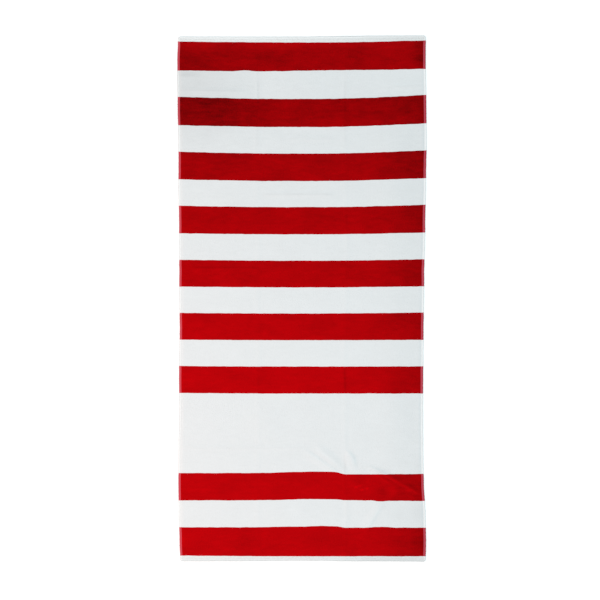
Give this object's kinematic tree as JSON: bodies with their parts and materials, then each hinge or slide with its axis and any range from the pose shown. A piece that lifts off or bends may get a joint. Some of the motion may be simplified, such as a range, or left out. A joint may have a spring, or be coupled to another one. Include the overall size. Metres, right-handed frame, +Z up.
{
  "type": "beach towel",
  "caption": "Flat-laid cotton velour beach towel with printed cross stripes, flat-woven selvedges and turned hems.",
  "frame": {"origin": "on the surface the towel lies on, under the middle of the towel", "axes": "+X across the towel, +Y along it from hem to hem, +Z up off the surface"},
  "size_m": [0.727, 1.53, 0.0068],
  "materials": {
    "cotton_velour": "sheared velour pile, printed red stripes on white"
  },
  "bodies": {
    "root": {"towel": "cotton_velour"}
  },
  "joints": []
}
